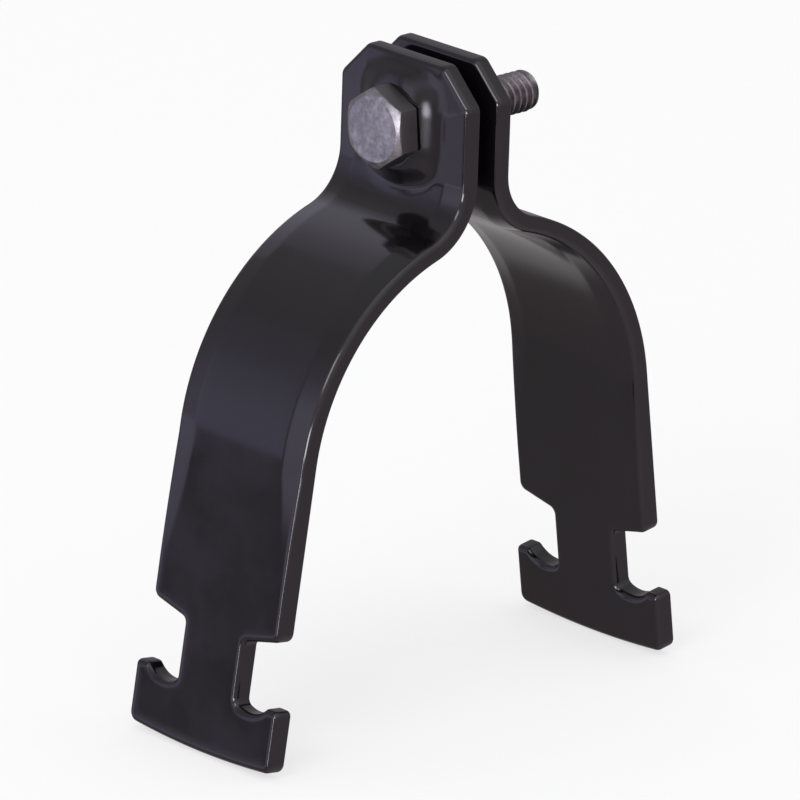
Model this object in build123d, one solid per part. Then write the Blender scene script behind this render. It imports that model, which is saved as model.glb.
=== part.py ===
from build123d import *
import math
import os

# A two-part pipe clip for slotted channel. Two bent straps are drawn together by one bolt through
# their ears, and each stands on a hooked foot that turns in the channel's slot. Both come from the
# same blank, but are bent opposite ways: the edges that blanking rolls over lie on the front
# strap's outer face and on the rear strap's inner face.
# The origin is the centre of the tube that the clip holds. X runs along the bolt, from its head
# to its tip, Y runs along the tube and Z is up. Every size is in millimetres.

# The coated sheet
sheet_thickness = 2.66
coat_thickness = 0.27
strap_width = 27.3
edge_roll = 1.2  # rounding that blanking leaves on one face's edges

# The seat around the tube
tube_diameter = 66.7
seat_clearance = 0.1

# The ear
ear_gap = 3.2
ear_bend_radius = 7.9
ear_straight = 17.0
ear_chamfer = 5.5
ear_corner_round = 1.8
hole_below_top = 10.3
hole_diameter = 7.1

# The raised pad that the bolt head or the nut bears on
pad_height = 1.9
pad_width = 13.8
pad_length = 19.2
pad_wall = 1.3
pad_rim_bevel = 0.6

# The leg, measured along its slope
leg_lean = 8.4
leg_straight = 28.2

# The foot, measured along the leg from the inner ends of the shoulders
neck_width = 12.8
shoulder_rise = 1.7
shoulder_corner_round = 1.6
neck_corner_round = 1.0
foot_width = 30.7
foot_drop = 18.9
foot_crown = 0.8
foot_corner_round = 1.6
hook_depth = 10.2
hook_seat_radius = 5.0
hook_tip_width = 2.5
hook_rise = 1.7
hook_tip_round = 0.9
hook_root_round = 1.2

# The bolt
thread_diameter = 6.35
bolt_length = 28.6
bolt_tip_chamfer = 0.8
head_across_flats = 11.11
head_height = 3.9
head_turn = 5.5

# The nut
nut_across_flats = 11.11
nut_height = 4.76
nut_turn = 8.0
nut_bore_clearance = 0.05
hex_chamfer_angle = 30.0

# How far an edge may lie from the line where it is looked for
matching_slack = 0.03

# What follows from the sizes above
strap_thickness = sheet_thickness + 2 * coat_thickness
half_sheet = strap_thickness / 2
ear_middle = ear_gap / 2 + half_sheet
seat_middle = tube_diameter / 2 + seat_clearance + half_sheet
bend_middle = ear_bend_radius + half_sheet
bend_x = ear_middle + bend_middle
bend_height = math.sqrt((seat_middle + bend_middle) ** 2 - bend_x**2)
seat_start = math.degrees(math.asin(bend_x / (seat_middle + bend_middle)))
seat_end = 90 - leg_lean
ear_top = bend_height + ear_straight
bolt_height = ear_top - hole_below_top
pad_face = ear_middle + half_sheet + pad_height
leg_length = leg_straight + foot_drop

down_leg = Vector(-math.sin(math.radians(leg_lean)), 0, -math.cos(math.radians(leg_lean)))
out_of_leg = Vector(-math.cos(math.radians(leg_lean)), 0, math.sin(math.radians(leg_lean)))


def on_circle(radius, degrees_from_top):
    # A point on a circle about the tube's centre, on the side of the bolt head
    angle = math.radians(degrees_from_top)
    return Vector(-radius * math.sin(angle), 0, radius * math.cos(angle))


def on_bend(radius, degrees_from_ear):
    # A point on a circle about the bend's centre, which lies outside the strap
    angle = math.radians(degrees_from_ear)
    return Vector(-bend_x + radius * math.cos(angle), 0, bend_height - radius * math.sin(angle))


def side_line(outward):
    # The strap seen from the side, at a distance outward of the middle of its sheet
    ear_x = -(ear_middle + outward)
    bend_radius = bend_middle - outward
    seat_radius = seat_middle + outward
    bend_turn = 90 - seat_start
    leg_start = on_circle(seat_radius, seat_end)
    bend_start = Vector(ear_x, 0, bend_height)
    seat_first = on_circle(seat_radius, seat_start)
    return [
        Line(Vector(ear_x, 0, ear_top), bend_start),
        ThreePointArc(bend_start, on_bend(bend_radius, bend_turn / 2), seat_first),
        ThreePointArc(seat_first, on_circle(seat_radius, (seat_start + seat_end) / 2), leg_start),
        Line(leg_start, leg_start + down_leg * leg_length),
    ]


def bent_sheet():
    # The strap before its outline is cut, as wide as the foot
    outer = side_line(half_sheet)
    inner = side_line(-half_sheet)
    top = Line(outer[0] @ 0, inner[0] @ 0)
    bottom = Line(outer[-1] @ 1, inner[-1] @ 1)
    profile = make_face([*outer, *inner, top, bottom])
    return extrude(profile, amount=foot_width / 2, dir=(0, 1, 0), both=True)


def rounded(face, corners, radius):
    # The face with the corners nearest to the given points rounded, on both sides of the middle
    for across, along in corners:
        for side in (1, -1):
            corner = face.vertices().sort_by_distance((side * across, along, 0))[0]
            face = fillet(corner, radius)
    return face


def ear_outline():
    # The front view from the middle of the seat's arc upward, with across and height as its axes
    edge = strap_width / 2
    shoulder = ear_top - ear_chamfer
    corner = edge - ear_chamfer
    start = on_circle(seat_middle, seat_end).Z
    right = [(corner, ear_top), (edge, shoulder), (edge, start)]
    left = [(-edge, start), (-edge, shoulder), (-corner, ear_top)]
    face = make_face(Polyline(*right, *left, close=True))
    return rounded(face, [(edge, shoulder), (corner, ear_top)], ear_corner_round)


def foot_outline():
    # The leg and foot seen square to the leg. The origin is between the shoulders, and down is
    # negative. The hook's seat is an arc whose lowest point is hook_depth below the shoulders.
    edge = strap_width / 2
    neck = neck_width / 2
    toe = foot_width / 2
    tip = toe - hook_tip_width
    tip_level = hook_rise - hook_depth
    seat_level = hook_seat_radius - hook_depth
    seat_across = tip - math.sqrt(hook_seat_radius**2 - (tip_level - seat_level) ** 2)
    root = seat_level - math.sqrt(hook_seat_radius**2 - (seat_across - neck) ** 2)
    lowest = (seat_across, -hook_depth)
    toe_end = foot_crown - foot_drop
    leg_top = leg_straight + strap_thickness
    half = [
        Polyline((0, leg_top), (edge, leg_top), (edge, shoulder_rise), (neck, 0), (neck, root)),
        ThreePointArc((neck, root), lowest, (tip, tip_level)),
        Polyline((tip, tip_level), (toe, tip_level), (toe, toe_end)),
    ]
    other_half = [mirror(line, about=Plane.YZ) for line in half]
    crown = ThreePointArc((toe, toe_end), (0, -foot_drop), (-toe, toe_end))
    face = make_face([*half, *other_half, crown])
    face = rounded(face, [(edge, shoulder_rise)], shoulder_corner_round)
    face = rounded(face, [(neck, 0)], neck_corner_round)
    face = rounded(face, [(neck, root)], hook_root_round)
    face = rounded(face, [(tip, tip_level), (toe, tip_level)], hook_tip_round)
    return rounded(face, [(toe, toe_end)], foot_corner_round)


def outline_cutter():
    # Everything that the blank's outline keeps, as two prisms that meet where the leg starts
    reach = seat_middle + leg_length
    ear = extrude(Plane.YZ * ear_outline(), amount=reach, both=True)
    between_shoulders = on_circle(seat_middle, seat_end) + down_leg * leg_straight
    leg_plane = Plane(origin=between_shoulders, x_dir=(0, -1, 0), z_dir=out_of_leg)
    leg = extrude(leg_plane * foot_outline(), amount=strap_thickness, both=True)
    return ear + leg


def outline_edges(strap, outward):
    # The edges along the outline of the face that lies outward of the sheet's middle by that much,
    # without the lines where bends start
    face_line = side_line(outward)
    joins = [edge @ 1 for edge in face_line[:-1]]
    found = ShapeList()
    for edge in strap.edges():
        middle = edge @ 0.5
        seen = Vector(middle.X, 0, middle.Z)
        on_face = Wire(face_line).distance_to(seen) < matching_slack
        nearest_join = min((seen - join).length for join in joins)
        on_join = abs(middle.Y) < matching_slack and nearest_join < matching_slack
        if on_face and not on_join:
            found.append(edge)
    return found


def obround(length, width, x):
    # An upright obround about the bolt's line, in a plane square to it
    upright = Plane.YZ * Rot(0, 0, 90) * SlotOverall(length, width)
    return Pos(-x, 0, bolt_height) * upright


def raised_pad():
    # The pad as it stands out of the ear's outer face
    pad = extrude(obround(pad_length, pad_width, ear_middle), amount=pad_face - ear_middle, dir=(-1, 0, 0))
    rim = pad.faces().sort_by(Axis.X)[0].edges()
    return chamfer(rim, pad_rim_bevel)


def pad_recess():
    # The hollow that the punch leaves behind the pad
    shape = obround(pad_length - 2 * pad_wall, pad_width - 2 * pad_wall, ear_gap / 2)
    return extrude(shape, amount=pad_height, dir=(-1, 0, 0))


def bolt_hole():
    turned = Rot(0, 90, 0) * Cylinder(hole_diameter / 2, 2 * pad_face + ear_gap)
    return Pos(-pad_face, 0, bolt_height) * turned


def strap(rolled_face):
    # One half of the clip, on the side of the bolt head. The rolled edges are those of the face
    # that lies outward of the sheet's middle by rolled_face.
    blank = bent_sheet() & outline_cutter()
    blank = fillet(outline_edges(blank, rolled_face), edge_roll)
    return blank + raised_pad() - pad_recess() - bolt_hole()


def hexagon(across_flats, height, turn):
    # A hexagonal prism along X from the origin, with two flats square to Y before it is turned
    shape = RegularPolygon(across_flats / 2, 6, major_radius=False, rotation=30)
    return Rot(turn, 0, 0) * extrude(Plane.YZ * shape, amount=height)


def corner_cone(across_flats, height):
    # A cylinder along X that trims a hexagon's corners to a slope at its far end
    corner = across_flats / math.sqrt(3)
    slope = (corner - across_flats / 2) * math.tan(math.radians(hex_chamfer_angle))
    cylinder = Pos(height / 2, 0, 0) * Rot(0, 90, 0) * Cylinder(corner, height)
    rim = cylinder.edges().filter_by(GeomType.CIRCLE).sort_by(Axis.X)[-1]
    face = cylinder.faces().sort_by(Axis.X)[-1]
    return chamfer(rim, length=slope, length2=corner - across_flats / 2, reference=face)


def hex_bolt():
    # The head bears on the pad of the strap beside it
    head = hexagon(head_across_flats, head_height, head_turn) & corner_cone(head_across_flats, head_height)
    head = Rot(0, 0, 180) * head
    shank = Pos(bolt_length / 2, 0, 0) * Rot(0, 90, 0) * Cylinder(thread_diameter / 2, bolt_length)
    tip = shank.edges().filter_by(GeomType.CIRCLE).sort_by(Axis.X)[-1]
    return Pos(-pad_face, 0, bolt_height) * (head + chamfer(tip, bolt_tip_chamfer))


def hex_nut():
    # The nut bears on the pad of the far strap
    body = hexagon(nut_across_flats, nut_height, nut_turn) & corner_cone(nut_across_flats, nut_height)
    bore = thread_diameter / 2 + nut_bore_clearance
    hole = Pos(nut_height / 2, 0, 0) * Rot(0, 90, 0) * Cylinder(bore, 2 * nut_height)
    return Pos(pad_face, 0, bolt_height) * (body - hole)


def write(node, shape):
    shape.label = node
    export_step(shape, "parts/" + node + ".step")


os.makedirs("parts", exist_ok=True)
write("front_strap", strap(half_sheet))
write("rear_strap", Rot(0, 0, 180) * strap(-half_sheet))
write("hex_bolt", hex_bolt())
write("hex_nut", hex_nut())
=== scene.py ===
import math

import bmesh
import bpy
import numpy as np
from mathutils import Matrix, Vector
from mathutils.geometry import delaunay_2d_cdt


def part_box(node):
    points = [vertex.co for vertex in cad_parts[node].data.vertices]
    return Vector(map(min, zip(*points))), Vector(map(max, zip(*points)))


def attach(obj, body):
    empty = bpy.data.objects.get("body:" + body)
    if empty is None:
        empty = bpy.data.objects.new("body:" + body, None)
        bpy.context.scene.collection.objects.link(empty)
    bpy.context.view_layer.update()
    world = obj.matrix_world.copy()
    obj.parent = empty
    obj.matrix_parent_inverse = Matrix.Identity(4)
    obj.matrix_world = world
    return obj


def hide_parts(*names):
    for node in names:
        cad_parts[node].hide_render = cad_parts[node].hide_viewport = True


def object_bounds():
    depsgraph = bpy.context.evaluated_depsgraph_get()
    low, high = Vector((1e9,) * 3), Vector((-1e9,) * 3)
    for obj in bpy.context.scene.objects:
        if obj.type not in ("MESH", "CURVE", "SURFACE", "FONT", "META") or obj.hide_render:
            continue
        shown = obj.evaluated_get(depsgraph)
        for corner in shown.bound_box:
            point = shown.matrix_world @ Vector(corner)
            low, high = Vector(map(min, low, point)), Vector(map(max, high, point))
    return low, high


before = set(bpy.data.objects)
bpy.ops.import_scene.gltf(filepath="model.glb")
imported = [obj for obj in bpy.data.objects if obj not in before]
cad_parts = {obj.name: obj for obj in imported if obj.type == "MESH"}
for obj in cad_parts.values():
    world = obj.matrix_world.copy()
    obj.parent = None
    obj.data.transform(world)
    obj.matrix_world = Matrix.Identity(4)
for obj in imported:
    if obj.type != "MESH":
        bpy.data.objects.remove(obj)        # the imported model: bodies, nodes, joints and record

# A two-part pipe clip on its hooked feet. Sizes are in millimetres until a mesh is made, and the
# origin is the centre of the tube that the clip holds. X runs along the bolt, from head to tip.
cadBox = [list(corner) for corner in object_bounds()]
millimetre = 0.001
nodeBox = {name: [np.array(corner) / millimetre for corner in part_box(name)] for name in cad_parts}
print("frame loaded:", ", ".join(sorted(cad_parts)))


# Shared mesh work

def newPiece(name, vertices, faces, material, sharpAngle):
    # Puts a closed surface into a mesh in metres: doubles merged, faces outward, and smooth but for
    # creases of more than sharpAngle degrees
    mesh = bpy.data.meshes.new(name)
    mesh.from_pydata((np.asarray(vertices) * millimetre).tolist(), [], faces)
    work = bmesh.new()
    work.from_mesh(mesh)
    bmesh.ops.remove_doubles(work, verts=work.verts, dist=0.001 * millimetre)
    bmesh.ops.dissolve_degenerate(work, edges=work.edges, dist=0.0001 * millimetre)
    bmesh.ops.recalc_face_normals(work, faces=work.faces)
    work.to_mesh(mesh)
    work.free()
    mesh.shade_smooth()
    mesh.set_sharp_from_angle(angle=math.radians(sharpAngle))
    mesh.materials.append(material)
    piece = bpy.data.objects.new(name, mesh)
    bpy.context.scene.collection.objects.link(piece)
    return piece


def gridFaces(rows, columns, first=0):
    # The quads of a grid of points that is stored row by row, from point number first
    corner = (np.arange(rows - 1)[:, None] * columns + np.arange(columns - 1)).ravel() + first
    return np.stack([corner, corner + 1, corner + columns + 1, corner + columns], 1).tolist()


def arcPoints(centre, radius, start, end, step, fewest=5):
    # centre + radius * (cosine, sine) of an even run of angles, given in degrees
    count = max(fewest, math.ceil(abs(math.radians(end - start)) * radius / step))
    angle = np.radians(np.linspace(start, end, count + 1))
    return np.stack([centre[0] + radius * np.cos(angle), centre[1] + radius * np.sin(angle)], 1)


def roundedLine(corners, step, arcStep):
    # Straight runs between corners (u, v, rounding), each corner cut by the arc that touches both
    # runs: its ends lie rounding * tan(half the turn) from the corner
    point = [np.array(corner[:2], float) for corner in corners]
    ends, parts = point[0], []
    for k in range(1, len(corners)):
        arrive = point[k] - point[k - 1]
        arrive /= np.linalg.norm(arrive)
        rounding = corners[k][2] if k < len(corners) - 1 else 0
        reach = point[k]
        if rounding:
            leave = point[k + 1] - point[k]
            leave /= np.linalg.norm(leave)
            turn = math.acos(np.clip(arrive @ leave, -1, 1))
            reach = point[k] - arrive * rounding * math.tan(turn / 2)
            bisector = (leave - arrive) / np.linalg.norm(leave - arrive)
            centre = point[k] + bisector * rounding / math.cos(turn / 2)
            start = math.degrees(math.atan2(*(reach - centre)[::-1]))
            sweep = math.degrees(turn) * np.sign(arrive[0] * leave[1] - arrive[1] * leave[0])
            arc = arcPoints(centre, rounding, start, start + sweep, arcStep)
        count = max(1, round(np.linalg.norm(reach - ends) / step))
        parts.append(ends + (reach - ends) * np.linspace(0, 1, count + 1)[:-1, None])
        ends = reach
        if rounding:
            parts.append(arc[:-1])
            ends = arc[-1]
    return np.vstack(parts + [ends[None]])


def closedEdges(count, first):
    # The edges of a closed loop of points
    here = np.arange(count)
    return np.stack([here, (here + 1) % count], 1) + first


def insideLoop(points, loop):
    # True where a line drawn from the point to the right crosses the loop an odd number of times
    ahead = np.roll(loop, -1, 0)
    x, y = points[:, :1], points[:, 1:]
    straddles = (loop[:, 1] > y) != (ahead[:, 1] > y)
    run = ahead[:, 1] - loop[:, 1]
    crossing = loop[:, 0] + (y - loop[:, 1]) * (ahead[:, 0] - loop[:, 0]) / np.where(run == 0, 1, run)
    return (straddles & (x < crossing)).sum(1) % 2 == 1


def loopDistance(points, loop):
    # The distance of each point from the nearest straight run of a closed loop
    run = np.roll(loop, -1, 0) - loop
    offset = points[:, None] - loop
    share = np.clip((offset * run).sum(2) / (run**2).sum(1), 0, 1)
    return np.linalg.norm(offset - share[..., None] * run, axis=2).min(1)


# The straps

strap = {
    "thickness": 3.2,
    "earGap": 3.2,
    "bendRadius": 9.5,  # of the middle of the sheet, as is seatRadius
    "seatRadius": 35.05,
    "earStraight": 17.0,
    "legLean": 8.4,
    "legStraight": 28.2,
    "width": 27.3,
    "earChamfer": 5.5,
    "earRound": 1.8,
    "neck": 12.8,
    "shoulderRise": 1.7,
    "shoulderRound": 1.6,
    "neckRound": 1.0,
    "footWidth": 30.7,
    "footDrop": 18.9,
    "footCrown": 0.8,
    "crownStart": 0.85,  # where the crown's curve meets the toe, as a share of half the foot
    "toeRound": 1.6,
    "hookDepth": 10.2,
    "hookSeat": 5.0,
    "hookTip": 2.5,
    "hookRise": 1.7,
    "tipRound": 0.9,
    "rootRound": 1.2,
    "holeBelowTop": 10.3,
    "hole": 7.1,
    "padWidth": 13.8,
    "padLength": 19.2,
    "padHeight": 1.9,
    "padWall": (-2.5, 3.5),  # where the pad's wall starts and ends, inward from its obround
    "padFade": 2.6,  # how near the ear's top edge the pad dies out
    "hollowInset": 1.3,  # the hollow's obround lies this far inside the pad's
    # The blanked edge: one face falls away to a round rim, and the other face's rim is plain
    "edgeStart": 0.8,  # how far in from the outline the round rim starts
    "rimRound": 0.95,
    "plainRound": 0.35,
    "rollChange": (27.0, 9.0),  # how far above the shoulders the fall begins and stops to change
    "rollReach": (4.5, 2.1),  # how far in the fall starts, on the arc and on the foot
    "rollSlope": (0.15, 0.02),
    "rollStart": 0.7,  # over how much of its reach the fall bends to its slope
    "sharpAngle": 40,
}
# The hollow's wall, as (distance in from its obround, share of the pad's height)
hollowWall = np.array([
    (-0.35, 0), (-0.12, 0.04), (0, 0.2), (0.1, 0.6),
    (0.25, 0.85), (0.5, 0.97), (0.8, 1),
])
# How close the points of the straps' mesh lie
spacing = {
    "line": 0.7,  # on straight runs
    "arc": 0.22,  # on small arcs
    "columns": 19,
    "rings": (1.2, 1.7, 2.1, 2.6, 3.2, 3.8, 4.15, 4.5),  # in from the outline on the rolled face
    "plainRings": (1.2, 2.1, 3.2),  # and on the plain face
    "rim": 9,  # points across the round rim
    "plainRim": 5,
    "aroundEnd": 26,  # steps round each end of an obround
    "alongSide": 7,  # points between its ends
    "padLoops": 16,
    "lengthOfRound": 0.0001,  # a round hole is an obround that is this much longer than it is wide
    "fromRing": 0.35,  # how far the grid keeps inside the innermost ring
    "ringSlack": 0.03,  # how much nearer to the outline than its ring a point may lie
    "fromWall": 0.3,  # how far grid and rings keep from the wall of the pad or the hollow
    "fromBorder": 0.25,  # how far single points of the pad's loops keep from the border
    "fromHole": 0.4,
    "weld": 0.00001,  # points that lie nearer than this become one
}

halfSheet = strap["thickness"] / 2
earX = strap["earGap"] / 2 + halfSheet
bendX = earX + strap["bendRadius"]
bendZ = math.sqrt((strap["seatRadius"] + strap["bendRadius"]) ** 2 - bendX**2)
earTop = bendZ + strap["earStraight"]
seatStart = math.asin(bendX / (strap["seatRadius"] + strap["bendRadius"]))
seatEnd = math.radians(90 - strap["legLean"])
seatAlong = strap["earStraight"] + strap["bendRadius"] * (math.pi / 2 - seatStart)
legAlong = seatAlong + strap["seatRadius"] * (seatEnd - seatStart)
neckAlong = legAlong + strap["legStraight"]
footAlong = neckAlong + strap["footDrop"]


def onStrap(across, along, out):
    # A point of the bent sheet. along runs down the middle of the sheet from the ear's top, and out is
    # the height over it. Ear and leg are straight, bend and seat are circles, where the place is
    # centre + radius * (cosine, sine) of the length run divided by the radius, plus out * the normal.
    bendRadius, seatRadius = strap["bendRadius"], strap["seatRadius"]
    bend = (along - strap["earStraight"]) / bendRadius
    seat = seatStart + (along - seatAlong) / seatRadius
    lean = math.radians(strap["legLean"])
    down = along - legAlong
    where = [along < strap["earStraight"], along < seatAlong, along < legAlong]
    level = np.ones_like(along)
    curvedX = [-earX * level, bendRadius * np.cos(bend) - bendX, -seatRadius * np.sin(seat)]
    curvedZ = [earTop - along, bendZ - bendRadius * np.sin(bend), seatRadius * np.cos(seat)]
    x = np.select(where, curvedX, -seatRadius * math.sin(seatEnd) - down * math.sin(lean))
    z = np.select(where, curvedZ, seatRadius * math.cos(seatEnd) - down * math.cos(lean))
    normalX = np.select(where, [-level, -np.cos(bend), -np.sin(seat)], -math.cos(lean))
    normalZ = np.select(where, [0 * level, np.sin(bend), np.cos(seat)], math.sin(lean))
    return np.stack([x + out * normalX, across, z + out * normalZ], -1)


def blankOutline():
    # The flat blank's outline as (across, along), down the right side and up the left. The hook's seat
    # is an arc, with a small arc that touches it at each end.
    edge, neck, toe = strap["width"] / 2, strap["neck"] / 2, strap["footWidth"] / 2
    step, arcStep = spacing["line"], spacing["arc"]
    hookSeat = strap["hookSeat"]
    tipAlong = neckAlong + strap["hookDepth"] - strap["hookRise"]
    seatCentre = np.array([0, neckAlong + strap["hookDepth"] - hookSeat])
    seatCentre[0] = toe - strap["hookTip"] - math.sqrt(hookSeat**2 - (tipAlong - seatCentre[1]) ** 2)
    rootCentre = seatCentre.copy()
    rootCentre[0] = neck + strap["rootRound"]
    rootReach = hookSeat - strap["rootRound"]
    rootCentre[1] += math.sqrt(rootReach**2 - (seatCentre[0] - rootCentre[0]) ** 2)
    tipCentre = np.array([seatCentre[0], tipAlong + strap["tipRound"]])
    tipReach = hookSeat + strap["tipRound"]
    tipCentre[0] += math.sqrt(tipReach**2 - (tipCentre[1] - seatCentre[1]) ** 2)
    rootAngle = math.degrees(math.atan2(*(rootCentre - seatCentre)[::-1]))
    tipAngle = math.degrees(math.atan2(*(tipCentre - seatCentre)[::-1]))
    crownStart = strap["crownStart"] * toe

    def crownAlong(across):
        # A parabola that is footCrown lower at the middle of the foot than at its toes
        return footAlong - strap["footCrown"] * (across / toe) ** 2

    upper = roundedLine([
        (0, 0, 0),
        (edge - strap["earChamfer"], 0, strap["earRound"]),
        (edge, strap["earChamfer"], strap["earRound"]),
        (edge, neckAlong - strap["shoulderRise"], strap["shoulderRound"]),
        (neck, neckAlong, strap["neckRound"]),
        (neck, rootCentre[1], 0),
    ], step, arcStep)
    root = arcPoints(rootCentre, strap["rootRound"], 180, rootAngle, arcStep)
    seat = arcPoints(seatCentre, hookSeat, rootAngle, tipAngle, 2 * arcStep)
    tip = arcPoints(tipCentre, strap["tipRound"], tipAngle + 180, 270, arcStep)
    lower = roundedLine([
        (tipCentre[0], tipAlong, 0),
        (toe, tipAlong, strap["tipRound"]),
        (toe, crownAlong(toe), strap["toeRound"]),
        (crownStart, crownAlong(crownStart), 0),
    ], step, arcStep)
    crownAcross = np.linspace(crownStart, 0, round(crownStart / step) + 1)
    crown = np.stack([crownAcross, crownAlong(crownAcross)], 1)
    half = np.vstack([upper[:-1], root[:-1], seat[:-1], tip[:-1], lower[:-1], crown])
    left = half[1:-1][::-1] * (-1, 1)
    return np.vstack([half, left])


def padAlong(height, out):
    # How far down the sheet a level plane meets its face that lies out from the middle
    bend = np.arcsin(np.clip((bendZ - height) / (strap["bendRadius"] - out), 0, 1))
    return np.where(height > bendZ, earTop - height, strap["earStraight"] + strap["bendRadius"] * bend)


def obroundLoop(width, length, inward, out):
    # An upright obround about the bolt's line, inward from its edge, as (across, along) on the face
    radius = width / 2 - inward
    straight = (length - width) / 2
    centreZ = earTop - strap["holeBelowTop"]
    step = math.pi * radius / spacing["aroundEnd"]
    top = arcPoints((0, centreZ + straight), radius, 0, 180, step)
    bottom = arcPoints((0, centreZ - straight), radius, 180, 360, step)
    sideLevel = np.linspace(-straight, straight, spacing["alongSide"] + 2)[1:-1]
    sideAcross = np.full_like(sideLevel, radius)
    rightSide = np.stack([sideAcross, centreZ + sideLevel], 1)
    leftSide = np.stack([-sideAcross, centreZ - sideLevel], 1)
    loop = np.vstack([top, leftSide, bottom, rightSide])
    return np.stack([loop[:, 0], padAlong(loop[:, 1], out)], 1)


def holeLoop(out):
    # The bolt's hole on the face that lies out from the middle
    return obroundLoop(strap["hole"], strap["hole"] + spacing["lengthOfRound"], 0, out)


def obroundInside(across, along, width, length, out):
    # How far inside the obround a point of the face lies, negative outside
    straight = (length - width) / 2
    z = onStrap(across, along, np.full_like(along, out))[..., 2] - (earTop - strap["holeBelowTop"])
    return width / 2 - np.hypot(across, np.maximum(np.abs(z) - straight, 0))


def rollDrop(distance, along):
    # The fall of the rolled face towards its edge: a short parabola where it starts, then a straight
    # slope. It is narrower on the foot than on the arc.
    places = neckAlong - np.array(strap["rollChange"])
    reach = np.interp(along, places, strap["rollReach"])
    slope = np.interp(along, places, strap["rollSlope"])
    run, start = np.maximum(0, reach - distance), strap["rollStart"]
    return slope * np.where(run < start, run**2 / (2 * start), run - start / 2)


def smoothStep(value, start, end):
    # 3 t^2 - 2 t^3 of the share t that the value has run from start to end
    share = np.clip((value - start) / (end - start), 0, 1)
    return share * share * (3 - 2 * share)


def padRise(across, along):
    # The pad's height over the face, times a smooth step up its wall and another away from the ear's
    # top edge. Over the bend the pad's top stays level with its flat part.
    bend = np.maximum(along - strap["earStraight"], 0) / strap["bendRadius"]
    full = halfSheet + strap["padHeight"] - strap["bendRadius"] * (1 - np.cos(bend))
    top = np.maximum(full / np.cos(bend) - halfSheet, 0)
    inside = obroundInside(across, along, strap["padWidth"], strap["padLength"], halfSheet)
    corner = strap["width"] / 2 - strap["earChamfer"]
    fromTop = np.minimum(along, (along + corner - np.abs(across)) / math.sqrt(2))
    return top * smoothStep(inside, *strap["padWall"]) * smoothStep(fromTop, 0, strap["padFade"])


def hollowRise(across, along):
    # How deep the punch's hollow goes into the inner face: the pad's height times the wall's share
    width, length = (strap[key] - 2 * strap["hollowInset"] for key in ("padWidth", "padLength"))
    inside = obroundInside(across, along, width, length, -halfSheet)
    return strap["padHeight"] * np.interp(inside, *hollowWall.T)


def inwardNormals(loop):
    # Square to the line through each point's two neighbours. A short step from the first point tells
    # which way is in.
    tangent = np.roll(loop, -1, 0) - np.roll(loop, 1, 0)
    normal = np.stack([-tangent[:, 1], tangent[:, 0]], 1)
    normal /= np.linalg.norm(normal, axis=1, keepdims=True)
    pointsIn = insideLoop(loop[:1] + normal[:1] * strap["plainRound"], loop)[0]
    return normal if pointsIn else -normal


def facePoints(outline, normals, border, rings, obround, wall):
    # The points and triangles of one flat face: its border, the loops of the pad's or the hollow's
    # wall, rings that follow the outline and an even grid between them. obround is (width, length,
    # out), and wall says how far in from it each loop lies.
    width, length, out = obround
    hole = holeLoop(out)
    walls = [obroundLoop(width, length, inward, out) for inward in wall]
    whole = [insideLoop(loop, border).all() for loop in walls]
    loops = [border, hole] + [loop for loop, kept in zip(walls, whole) if kept]
    cut = np.vstack([loop for loop, kept in zip(walls, whole) if not kept] + [np.empty((0, 2))])
    side = outline[np.isclose(outline[:, 0], strap["width"] / 2), 1]
    step = spacing["line"]
    above, below = np.arange(side.min(), 0, -step)[:0:-1], np.arange(side.max() + step, footAlong, step)
    rows = np.concatenate([above, np.sort(side), below])
    halfFoot = strap["footWidth"] / 2
    columns = np.linspace(-halfFoot, halfFoot, spacing["columns"] + 2)[1:-1]
    grid = np.stack(np.meshgrid(columns, rows), -1).reshape(-1, 2)
    free = [grid[loopDistance(grid, outline) > rings[-1] + spacing["fromRing"]]]
    for ring in rings:
        offset = outline + normals * ring
        free.append(offset[loopDistance(offset, outline) > ring - spacing["ringSlack"]])
    free = np.vstack(free)
    free = free[insideLoop(free, border) & ~insideLoop(free, hole)]
    outermost = obroundLoop(width, length, wall[0] - spacing["fromWall"], out)
    innermost = obroundLoop(width, length, wall[-1] + spacing["fromWall"], out)
    free = free[~insideLoop(free, outermost) | insideLoop(free, innermost)]
    if len(cut):
        # Loops that cross the border are kept as single points
        cut = cut[insideLoop(cut, border)]
        free = np.vstack([free, cut[loopDistance(cut, border) > spacing["fromBorder"]]])
    free = free[loopDistance(free, hole) > spacing["fromHole"]]
    points = np.vstack(loops + [free])
    starts = np.cumsum([0] + [len(loop) for loop in loops])
    edges = np.vstack([closedEdges(len(loop), start) for loop, start in zip(loops, starts)])
    found = delaunay_2d_cdt(list(map(Vector, points.tolist())), edges.tolist(), [], 0, spacing["weld"], False)
    flat = np.array([tuple(vertex) for vertex in found[0]])
    triangles = np.array(found[2])
    middle = flat[triangles].mean(1)
    return flat, triangles[insideLoop(middle, border) & ~insideLoop(middle, hole)]


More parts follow.
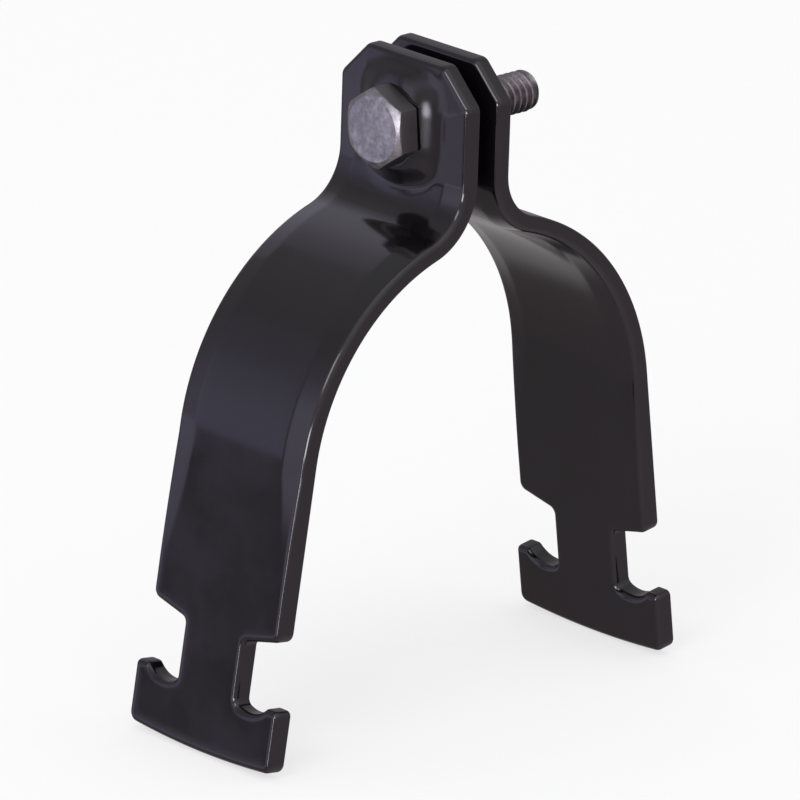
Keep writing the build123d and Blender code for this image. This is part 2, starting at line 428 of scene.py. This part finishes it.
def strapSurface(rolledSide):
    # The whole closed surface of one strap: a band carried along the outline, whose section is the
    # rolled rim, the side and the plain rim, and the two faces with a bore between them.
    # rolledSide is 1 where the outer face is the rolled one and -1 where the inner face is.
    outline = blankOutline()
    normals = inwardNormals(outline)
    start, rimRound, plainRound = strap["edgeStart"], strap["rimRound"], strap["plainRound"]
    slope = math.asin(1 - start / rimRound)
    turn = np.linspace(slope, math.pi / 2, spacing["rim"])
    rimIn = start - rimRound * (np.sin(turn) - math.sin(slope))
    rimFall = rollDrop(start, outline[:, 1:]) + rimRound * (math.cos(slope) - np.cos(turn))
    plainTurn = np.linspace(0, math.pi / 2, spacing["plainRim"])
    plainIn = plainRound * (1 - np.cos(plainTurn))
    plainOut = np.tile(plainRound * (1 - np.sin(plainTurn)) - halfSheet, (len(outline), 1))
    sideShare = np.array([1 / 3, 2 / 3])
    rimEnd = halfSheet - rimFall[:, -1:]
    sideOut = rimEnd + (plainOut[:, :1] - rimEnd) * sideShare
    bandIn = np.concatenate([rimIn, 0 * sideShare, plainIn])
    bandOut = np.concatenate([halfSheet - rimFall, sideOut, plainOut], 1) * rolledSide
    place = outline[:, None] + normals[:, None] * bandIn[:, None]
    across, along = place[..., 0], place[..., 1]
    raised = np.where(bandOut > 0, padRise(across, along), 0)
    band = onStrap(across, along, bandOut + raised)
    band = np.concatenate([band, band[:1]])
    parts, faces = [band.reshape(-1, 3)], gridFaces(band.shape[0], band.shape[1])
    count = len(parts[0])

    padSize = np.array([strap["padWidth"], strap["padLength"]])
    padLoops = np.linspace(*strap["padWall"], spacing["padLoops"])
    hollowSize = padSize - 2 * strap["hollowInset"]
    for face, size, wall in ((1, padSize, padLoops), (-1, hollowSize, hollowWall[:, 0])):
        rolled = face == rolledSide
        border = outline + normals * (start if rolled else plainRound)
        rings = spacing["rings"] if rolled else spacing["plainRings"]
        flat, triangles = facePoints(outline, normals, border, rings, (*size, face * halfSheet), wall)
        height = face * halfSheet + (padRise(*flat.T) if face > 0 else hollowRise(*flat.T))
        if rolled:
            height -= face * rollDrop(loopDistance(flat, outline), flat[:, 1])
        parts.append(onStrap(*flat.T, height))
        faces += (triangles + count).tolist()
        count += len(flat)

    boreLoops = [holeLoop(halfSheet), holeLoop(-halfSheet)]
    boreHeight = [halfSheet + padRise(*boreLoops[0].T), hollowRise(*boreLoops[1].T) - halfSheet]
    bore = np.stack([onStrap(*loop.T, height) for loop, height in zip(boreLoops, boreHeight)])
    bore = np.concatenate([bore, bore[:, :1]], 1)
    parts.append(bore.reshape(-1, 3))
    faces += gridFaces(2, bore.shape[1], count)
    return np.vstack(parts), faces


# Materials

def nodeMaker(material):
    # A short way to add a node with its fixed inputs and links
    tree = material.node_tree

    def add(kind, inputs=None, **settings):
        node = tree.nodes.new(kind)
        for key, value in settings.items():
            setattr(node, key, value)
        for key, value in (inputs or {}).items():
            if isinstance(value, bpy.types.NodeSocket):
                tree.links.new(value, node.inputs[key])
            else:
                node.inputs[key].default_value = value
        return node

    return add


def startMaterial(name):
    # An empty material, its node adder and the place of each point on the piece
    material = bpy.data.materials.new(name)
    material.use_nodes = True
    material.node_tree.nodes.clear()
    add = nodeMaker(material)
    place = add("ShaderNodeTexCoord").outputs["Object"]
    return material, add, place


def finishMaterial(add, shader):
    add("ShaderNodeOutputMaterial", {"Surface": shader.outputs[0]})


def mapped(add, value, fromRange, toRange):
    # A value carried from one range to another, held at the ends
    node = add("ShaderNodeMapRange", {"Value": value, "From Min": fromRange[0], "From Max": fromRange[1],
                                      "To Min": toRange[0], "To Max": toRange[1]})
    return node.outputs["Result"]


def mixed(add, share, first, second, kind="MIX"):
    # Two colours blended by a share
    inputs = {"Factor": share, "A": first, "B": second}
    return add("ShaderNodeMix", inputs, data_type="RGBA", blend_type=kind).outputs["Result"]


coat = {
    "colour": (0.0024, 0.0016, 0.0024, 1),
    "paler": (0.0052, 0.0042, 0.0054, 1),
    "roughness": (0.09, 0.15),
    "gloss": 1.5,  # the clear face's index of refraction
    # Scales are waves for each metre, and depths are metres
    "cloudScale": 70,
    "cloudRange": (0.35, 0.65),  # the part of the cloud's values that the roughness follows
    "waveScale": 110,
    "waveDepth": 0.00002,
    "peelScale": 900,
    "peelDepth": 0.0000005,
}


def coatMaterial():
    # A black gloss with a faint cloud in its tone and polish, long waves and a fine peel
    material, add, place = startMaterial("glossyCoat")
    cloud = add("ShaderNodeTexNoise", {"Vector": place, "Scale": coat["cloudScale"], "Detail": 4,
                                       "Roughness": 0.6})
    fine = add("ShaderNodeTexNoise", {"Vector": place, "Scale": coat["peelScale"], "Detail": 2})
    wave = add("ShaderNodeTexNoise", {"Vector": place, "Scale": coat["waveScale"], "Detail": 1})
    tint = mixed(add, cloud.outputs["Fac"], coat["colour"], coat["paler"])
    rough = mapped(add, cloud.outputs["Fac"], coat["cloudRange"], coat["roughness"])
    swell = add("ShaderNodeBump", {"Height": wave.outputs["Fac"], "Distance": coat["waveDepth"],
                                   "Strength": 1})
    peel = add("ShaderNodeBump", {"Height": fine.outputs["Fac"], "Distance": coat["peelDepth"],
                                  "Strength": 1, "Normal": swell.outputs["Normal"]})
    shader = add("ShaderNodeBsdfPrincipled", {"Base Color": tint, "Roughness": rough, "IOR": coat["gloss"],
                                              "Normal": peel.outputs["Normal"]})
    finishMaterial(add, shader)
    return material


zinc = {
    "colour": (0.37, 0.36, 0.38),
    "darker": (0.18, 0.17, 0.18),
    # The head's sides get painted shade: this darker colour stands in for the shade on its side flats
    "sides": (0.125, 0.115, 0.12),
    "shadeStart": 0.55,  # how far behind the head's face the painted shade on its sides starts, and over how much
    "shadeFade": 0.15,
    "roughness": (0.28, 0.46),
    "metal": 0.85,
    # Scales are waves for each metre, and depths are metres
    "mottleScale": 900,
    "mottleRange": (0.35, 0.65),
    "blotchScale": 250,
    "blotchRange": (0.42, 0.56),
    "blotch": 0.6,  # what the large blotches leave of the paler colour
    "roughRange": (0.3, 0.7),
    "grainDepth": 0.00001,
}


def zincMaterial(name, tone, faceX=None):
    # A dull zinc plating, mottled, whose tone scales the dictionary's colours. A head's sides, which
    # lie behind its face at faceX, get painted shade: a darker colour that stands in for the shade on them.
    material, add, place = startMaterial(name)
    mottle = add("ShaderNodeTexNoise", {"Vector": place, "Scale": zinc["mottleScale"], "Detail": 5,
                                        "Roughness": 0.65})
    cloud = add("ShaderNodeTexNoise", {"Vector": place, "Scale": zinc["blotchScale"], "Detail": 2})
    darker, paler = [tuple(np.array(zinc[key]) * tone) + (1,) for key in ("darker", "colour")]
    spots = mapped(add, mottle.outputs["Fac"], zinc["mottleRange"], (0, 1))
    blotch = mapped(add, cloud.outputs["Fac"], zinc["blotchRange"], (zinc["blotch"], 1))
    share = add("ShaderNodeMath", {0: spots, 1: blotch}, operation="MULTIPLY").outputs[0]
    tint = mixed(add, share, darker, paler)
    # Painted shade: behind the head's face the colour turns to the darker sides' colour, in place of the
    # shade on them
    if faceX is not None:
        along = add("ShaderNodeSeparateXYZ", {0: place}).outputs["X"]
        shadeStart = faceX + zinc["shadeStart"]
        fade = (shadeStart * millimetre, (shadeStart + zinc["shadeFade"]) * millimetre)
        tint = mixed(add, mapped(add, along, fade, (0, 1)), tint, (*zinc["sides"], 1))
    rough = mapped(add, cloud.outputs["Fac"], zinc["roughRange"], zinc["roughness"])
    grain = add("ShaderNodeBump", {"Height": mottle.outputs["Fac"], "Distance": zinc["grainDepth"],
                                   "Strength": 1})
    shader = add("ShaderNodeBsdfPrincipled", {"Base Color": tint, "Roughness": rough,
                                              "Metallic": zinc["metal"], "Normal": grain.outputs["Normal"]})
    finishMaterial(add, shader)
    return material


coatFinish = coatMaterial()
headFinish = zincMaterial("zincHead", 1.0, nodeBox["hex_bolt"][0][0])
nutFinish = zincMaterial("zincNut", 0.8)
threadFinish = zincMaterial("zincThread", (0.82, 0.76, 0.76))

frontSkin = newPiece("frontStrapSkin", *strapSurface(1), coatFinish, strap["sharpAngle"])
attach(frontSkin, "front_half")
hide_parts("front_strap")
vertices, faces = strapSurface(-1)
halfTurn = (-1, -1, 1)  # about Z
rearSkin = newPiece("rearStrapSkin", vertices * halfTurn, faces, coatFinish, strap["sharpAngle"])
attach(rearSkin, "rear_half")
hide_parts("rear_strap")
print("straps made:", len(frontSkin.data.polygons), "faces each")


# The bolt and its nut

bolt = {
    "pitch": 1.27,
    "major": 6.35,
    "minor": 4.85,
    # One ridge of the thread: how far from the ridge's middle in pitches, and its share of the depth
    "ridgeFrom": [0, 0.045, 0.075, 0.39, 0.43, 0.5],
    "ridgeShare": [1, 1, 0.95, 0.05, 0, 0],
    "tipChamfer": 0.8,
    "tipRings": (0.9, 0.5),  # shares of the thread's radius
    "intoHead": 0.5,  # how far the shank runs into the head
    "perTurn": 14,  # rows of points in one pitch
    "aroundThread": 72,
    "flats": 11.11,
    "headHeight": 3.9,
    "headTurn": -5.5,
    "threadSharp": 50,
}
# What head and nut have in common
hexagon = {
    "chamferAngle": 30,
    "faceCircle": 0.905,  # the flat face's share of the width across flats
    "faceRings": 4,
    "chamferRings": 7,
    "sideRings": 6,
    "seatShare": 0.9,  # the inner ring of the seat, as a share of half the width across flats
    "cornerRound": 0.25,
    "lineStep": 0.5,
    "arcStep": 0.06,
    "sharpAngle": 25,
}
nut = {"flats": 11.11, "height": 4.76, "turn": 8.0, "bore": 6.45, "countersink": 0.35}

boltLow, boltHigh = nodeBox["hex_bolt"]
boltZ = (boltLow[2] + boltHigh[2]) / 2
tipX = boltHigh[0]
underHead = boltLow[0] + bolt["headHeight"]
nutX = nodeBox["hex_nut"][0][0]


def aroundBolt(x, radius, angle):
    # A point at that radius and angle about the bolt's line
    return np.stack([x + 0 * radius, radius * np.cos(angle), boltZ + radius * np.sin(angle)], -1)


def threadSurface():
    # A right-hand screw: at angle a the section is moved along by pitch * a / a full turn. The radius
    # is a ridge in what is left of x / pitch after the whole turns, cut by the cone of the tip.
    pitch = bolt["pitch"]
    turns = (tipX - underHead) / pitch
    rows = np.arange(-1, math.ceil(turns) + 1e-6, 1 / bolt["perTurn"])[:, None]
    angle = np.linspace(0, 2 * math.pi, bolt["aroundThread"] + 1)
    twist = angle / (2 * math.pi)
    x = np.clip(underHead + pitch * (rows + twist), underHead - bolt["intoHead"], tipX)
    phase = np.abs(((x - underHead) / pitch - twist) % 1 - 0.5)
    depth = (bolt["major"] - bolt["minor"]) / 2
    radius = bolt["minor"] / 2 + depth * np.interp(phase, bolt["ridgeFrom"], bolt["ridgeShare"])
    cone = bolt["major"] / 2 - bolt["tipChamfer"] + (tipX - x)
    radius = np.minimum(radius, cone)
    first, last = radius[:1], radius[-1:]
    tip = [share * last for share in bolt["tipRings"]]
    radius = np.concatenate([0 * first, radius, *tip, 0 * last])
    x = np.concatenate([x[:1], x, np.repeat(x[-1:], len(tip) + 1, 0)])
    points = aroundBolt(x, radius, angle)
    return points.reshape(-1, 3), gridFaces(*points.shape[:2])


def hexagonLoop(flats, turn):
    # A hexagon with rounded corners, as radius and angle about its middle, from the middle of a side
    corner = flats / math.sqrt(3)
    angles = np.radians(turn + 30 + 60 * np.arange(7))
    corners = [(corner * math.cos(a), corner * math.sin(a), hexagon["cornerRound"]) for a in angles]
    first = ((corners[0][0] + corners[-2][0]) / 2, (corners[0][1] + corners[-2][1]) / 2, 0)
    loop = roundedLine([first] + corners[:6] + [first], hexagon["lineStep"], hexagon["arcStep"])
    return np.hypot(*loop.T), np.arctan2(loop[:, 1], loop[:, 0])


def hexagonSurface(flats, height, turn, bore, countersink, seatX, away):
    # A hexagon carried from its chamfered face to its seat. Each ring's radius is the smaller of the
    # ring's own and the hexagon's, and beyond the chamfer's circle the face falls by the chamfer.
    reach, angle = hexagonLoop(flats, turn)
    circle = flats / 2 * hexagon["faceCircle"]
    mouth = bore / 2 + countersink
    face = np.linspace(bore / 2 + 1, circle, hexagon["faceRings"])
    chamfer = np.linspace(circle, reach.max(), hexagon["chamferRings"])[1:]
    ring = np.concatenate([[bore / 2, mouth], face, chamfer])[:, None]
    if not bore:
        ring[:2] = 0
    ringRadius = np.minimum(ring, reach)
    drop = np.maximum(ringRadius - circle, 0) * math.tan(math.radians(hexagon["chamferAngle"]))
    drop[0] = countersink
    side = np.linspace(0, 1, hexagon["sideRings"])[1:, None]
    sideDrop = drop[-1] + (height - drop[-1]) * side
    sideRadius = np.repeat(reach[None], len(side), 0)
    seatRadius = np.array([hexagon["seatShare"] * flats / 2, mouth, bore / 2])[:, None]
    seatDrop = np.array([height, height, height - countersink])[:, None]
    radius = np.concatenate([ringRadius, sideRadius, seatRadius + 0 * reach])
    drops = np.concatenate([drop, sideDrop, seatDrop + 0 * reach])
    if bore:  # the bore's wall closes the ring
        radius = np.concatenate([radius, radius[:1]])
        drops = np.concatenate([drops, drops[:1]])
    points = aroundBolt(seatX + away * (height - drops), radius, angle)
    return points.reshape(-1, 3), gridFaces(*points.shape[:2])


thread = newPiece("boltThread", *threadSurface(), threadFinish, bolt["threadSharp"])
headShape = hexagonSurface(bolt["flats"], bolt["headHeight"], bolt["headTurn"], 0, 0, underHead, -1)
head = newPiece("boltHead", *headShape, headFinish, hexagon["sharpAngle"])
for piece in (thread, head):
    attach(piece, "bolt")
    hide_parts("hex_bolt")
nutShape = hexagonSurface(*nut.values(), nutX, 1)
nutPiece = newPiece("nutBody", *nutShape, nutFinish, hexagon["sharpAngle"])
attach(nutPiece, "nut")
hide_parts("hex_nut")
print("bolt and nut made:", len(thread.data.polygons), "faces of thread")


# The floor, the light and the camera

studio = {
    "floorReach": 6.0,
    "floorGrey": ((0.9, 0.9, 0.9, 1), (0.93, 0.93, 0.93, 1)),
    "speckleScale": 400,
    "shadowShare": 0.35,  # how much of the floor's look comes from the light on it
    "ambient": 0.9,
    # The room that the gloss shows. Rises are degrees above the horizon, sides are degrees left of +Y.
    "room": [
        (-30, (0.28, 0.25, 0.28)),
        (-12, (0.27, 0.23, 0.26)),
        (5, (0.27, 0.24, 0.27)),
        (30, (0.27, 0.24, 0.26)),
        (50, (0.32, 0.31, 0.33)),
        (62, (0.44, 0.42, 0.46)),
        (80, (0.6, 0.6, 0.65)),
    ],
    "lightSide": 160.0,  # the side on which room and floor are brightest, behind the camera
    "behind": 2.6,  # how much brighter the room is there
    "behindRange": (-0.3, 0.9),  # cosines of the turn away from it between which the room brightens
    "horizon": (-24, -32),  # the rises between which the floor takes over from the room
    "floorTint": (1.08, 0.94, 1.0),
    "floorShade": (0.22, 0.75),  # opposite the light side and below it
    # Soft patches of the room: each fades in from the first to the second and out from the third to
    # the fourth of its sides and rises
    "patches": [
        {"side": (14, 40, 49, 54), "rise": (-6.4, -5.4, 0, 34), "colour": (0.42, 0.42, 0.68)},
        {"side": (33, 35, 80, 95), "rise": (-6.4, -5.4, 34, 37), "colour": (0.08, 0.08, 0.12)},
        {"side": (55, 61, 76, 88), "rise": (-14, -11, 12, 34), "colour": (0.66, 0.64, 0.92)},
        {"side": (-36, -28, -24, -2), "rise": (18, 24, 43, 54), "colour": (0.22, 0.22, 0.28)},
        {"side": (-36, -28, -2.5, 0), "rise": (18, 24, 45, 54), "colour": (0.17, 0.16, 0.21)},
        {"side": (10, 32, 62, 74), "rise": (-27, -22, -10.8, -9.6), "colour": (0.53, 0.53, 0.76)},
        {"side": (10, 32, 43, 45.5), "rise": (-10.6, -9.8, -6.2, -5.6), "colour": (0.5, 0.5, 0.74)},
        {"side": (-60, -42, -16, 8), "rise": (-62, -47, -32, -24), "colour": (0.3, 0.3, 0.3)},
    ],
    # Lamps: where they stand, how wide and tall they look in degrees, and their radiance
    "panels": [
        {"side": 110.5, "rise": 5, "wide": 23, "tall": 12.5, "level": 12.0, "colour": (1, 1, 1.05)},
        {"side": 105, "rise": 36, "wide": 26, "tall": 16, "level": 4.5, "colour": (1, 1, 1.05)},
        {"side": 97.5, "rise": -7.2, "wide": 5, "tall": 14.4, "level": 12.0, "colour": (0.97, 0.97, 1.1)},
    ],
    "panelDistance": 1.6,
}


def floorMaterial():
    # White to the camera, with the light that falls on it blended in so that the shadow stays
    material, add, place = startMaterial("paleFloor")
    speckle = add("ShaderNodeTexNoise", {"Vector": place, "Scale": studio["speckleScale"], "Detail": 3})
    tint = mixed(add, speckle.outputs["Fac"], *studio["floorGrey"])
    matte = add("ShaderNodeBsdfDiffuse", {"Color": tint})
    white = add("ShaderNodeEmission", {"Color": (1, 1, 1, 1), "Strength": 1})
    share = add("ShaderNodeMath", {0: add("ShaderNodeLightPath").outputs["Is Camera Ray"],
                                   1: 1 - studio["shadowShare"]}, operation="MULTIPLY")
    both = add("ShaderNodeMixShader", {0: share.outputs[0], 1: matte.outputs[0], 2: white.outputs[0]})
    finishMaterial(add, both)
    return material


def roomWorld():
    # White to the camera, plain light on matt surfaces, and a room of soft greys for the gloss
    world = bpy.data.worlds.new("room")
    world.use_nodes = True
    world.node_tree.nodes.clear()
    add = nodeMaker(world)

    def compute(operation, *values):
        return add("ShaderNodeMath", dict(enumerate(values)), operation=operation).outputs[0]

    def fade(value, start, end):
        node = add("ShaderNodeMapRange", {"Value": value, "From Min": start, "From Max": end},
                   interpolation_type="SMOOTHSTEP")
        return node.outputs["Result"]

    path = add("ShaderNodeLightPath").outputs
    place = add("ShaderNodeSeparateXYZ", {0: add("ShaderNodeTexCoord").outputs["Generated"]}).outputs
    rise = compute("DEGREES", compute("ARCSINE", place["Z"]))
    side = compute("DEGREES", compute("ARCTAN2", compute("MULTIPLY", place["X"], -1.0), place["Y"]))
    ramp = add("ShaderNodeValToRGB", {"Fac": mapped(add, rise, (-90, 90), (0, 1))})
    stops = ramp.color_ramp.elements
    for k, (level, grey) in enumerate(studio["room"]):
        stop = stops[k] if k < 2 else stops.new(0.5)
        stop.position = (level + 90) / 180
        stop.color = (*grey, 1)
    turn = compute("COSINE", compute("RADIANS", compute("SUBTRACT", side, studio["lightSide"])))
    shade = mapped(add, turn, (-1, 1), studio["floorShade"])
    floorTone = add("ShaderNodeVectorMath", {0: studio["floorTint"], 1: shade}, operation="MULTIPLY")
    behind = mapped(add, turn, studio["behindRange"], (1, studio["behind"]))
    roomTone = add("ShaderNodeVectorMath", {0: ramp.outputs["Color"], 1: behind}, operation="MULTIPLY")
    seen = mixed(add, fade(rise, *studio["horizon"]), roomTone.outputs[0], floorTone.outputs[0])
    for patch in studio["patches"]:
        edges = [fade(value, *pair) for value, key in ((side, "side"), (rise, "rise"))
                 for pair in (patch[key][:2], patch[key][:1:-1])]
        share = compute("MULTIPLY", compute("MULTIPLY", *edges[:2]), compute("MULTIPLY", *edges[2:]))
        seen = mixed(add, share, seen, (*patch["colour"], 1), "ADD")
    plain = (studio["ambient"],) * 3 + (1,)
    gloss = mixed(add, path["Is Glossy Ray"], plain, seen)
    final = mixed(add, path["Is Camera Ray"], gloss, (1, 1, 1, 1))
    sky = add("ShaderNodeBackground", {"Color": final, "Strength": 1})
    add("ShaderNodeOutputWorld", {"Surface": sky.outputs[0]})
    bpy.context.scene.world = world


def softPanel(number, panel):
    # A rectangular lamp that faces the clip. Its radiance is power / (pi * area).
    distance = studio["panelDistance"]
    side, rise = math.radians(panel["side"]), math.radians(panel["rise"])
    flatReach = math.cos(rise)
    direction = Vector((-math.sin(side) * flatReach, math.cos(side) * flatReach, math.sin(rise)))
    lamp = bpy.data.lights.new(f"panel{number}", "AREA")
    lamp.shape = "RECTANGLE"
    lamp.size = 2 * distance * math.tan(math.radians(panel["wide"] / 2))
    lamp.size_y = 2 * distance * math.tan(math.radians(panel["tall"] / 2))
    lamp.energy = panel["level"] * math.pi * lamp.size * lamp.size_y
    lamp.color = panel["colour"]
    holder = bpy.data.objects.new(lamp.name, lamp)
    holder.location = direction * distance
    holder.rotation_euler = direction.to_track_quat("Z", "Y").to_euler()
    bpy.context.scene.collection.objects.link(holder)


floorLevel = cadBox[0][2]
reach = studio["floorReach"]
floorMesh = bpy.data.meshes.new("floor")
floorMesh.from_pydata([(-reach, -reach, floorLevel), (reach, -reach, floorLevel),
                       (reach, reach, floorLevel), (-reach, reach, floorLevel)], [], [(0, 1, 2, 3)])
floorMesh.materials.append(floorMaterial())
floor = bpy.data.objects.new("floor", floorMesh)
floor.visible_glossy = False
bpy.context.scene.collection.objects.link(floor)
roomWorld()
for number, panel in enumerate(studio["panels"]):
    softPanel(number, panel)
bpy.context.scene.view_settings.view_transform = "Standard"

# The camera, with its distance and target in metres, its lens and sensor in millimetres
shot = {
    "azimuth": -44.7482,
    "elevation": 18.9375,
    "roll": 1.8721,
    "distance": 1.4,
    "target": (-0.0029524, 0, 0.0054193),
    "lens": 420.13,
    "sensor": 36,
    "farthest": 50,
}


def placeCamera():
    # Looks at the target from that azimuth and elevation, then rolls about its own line of sight
    side, rise, roll = (math.radians(shot[key]) for key in ("azimuth", "elevation", "roll"))
    back = Vector((math.sin(side) * math.cos(rise), -math.cos(side) * math.cos(rise), math.sin(rise)))
    level = Vector((math.cos(side), math.sin(side), 0))
    upright = back.cross(level)
    right = level * math.cos(roll) + upright * math.sin(roll)
    up = upright * math.cos(roll) - level * math.sin(roll)
    lens = bpy.data.cameras.new("shot")
    lens.sensor_width = shot["sensor"]
    lens.lens = shot["lens"]
    lens.clip_end = shot["farthest"]
    camera = bpy.data.objects.new("shot", lens)
    turn = Matrix((right, up, back)).transposed().to_4x4()
    camera.matrix_world = Matrix.Translation(Vector(shot["target"]) + back * shot["distance"]) @ turn
    bpy.context.scene.collection.objects.link(camera)
    bpy.context.scene.camera = camera


placeCamera()
print("floor, light and camera placed")
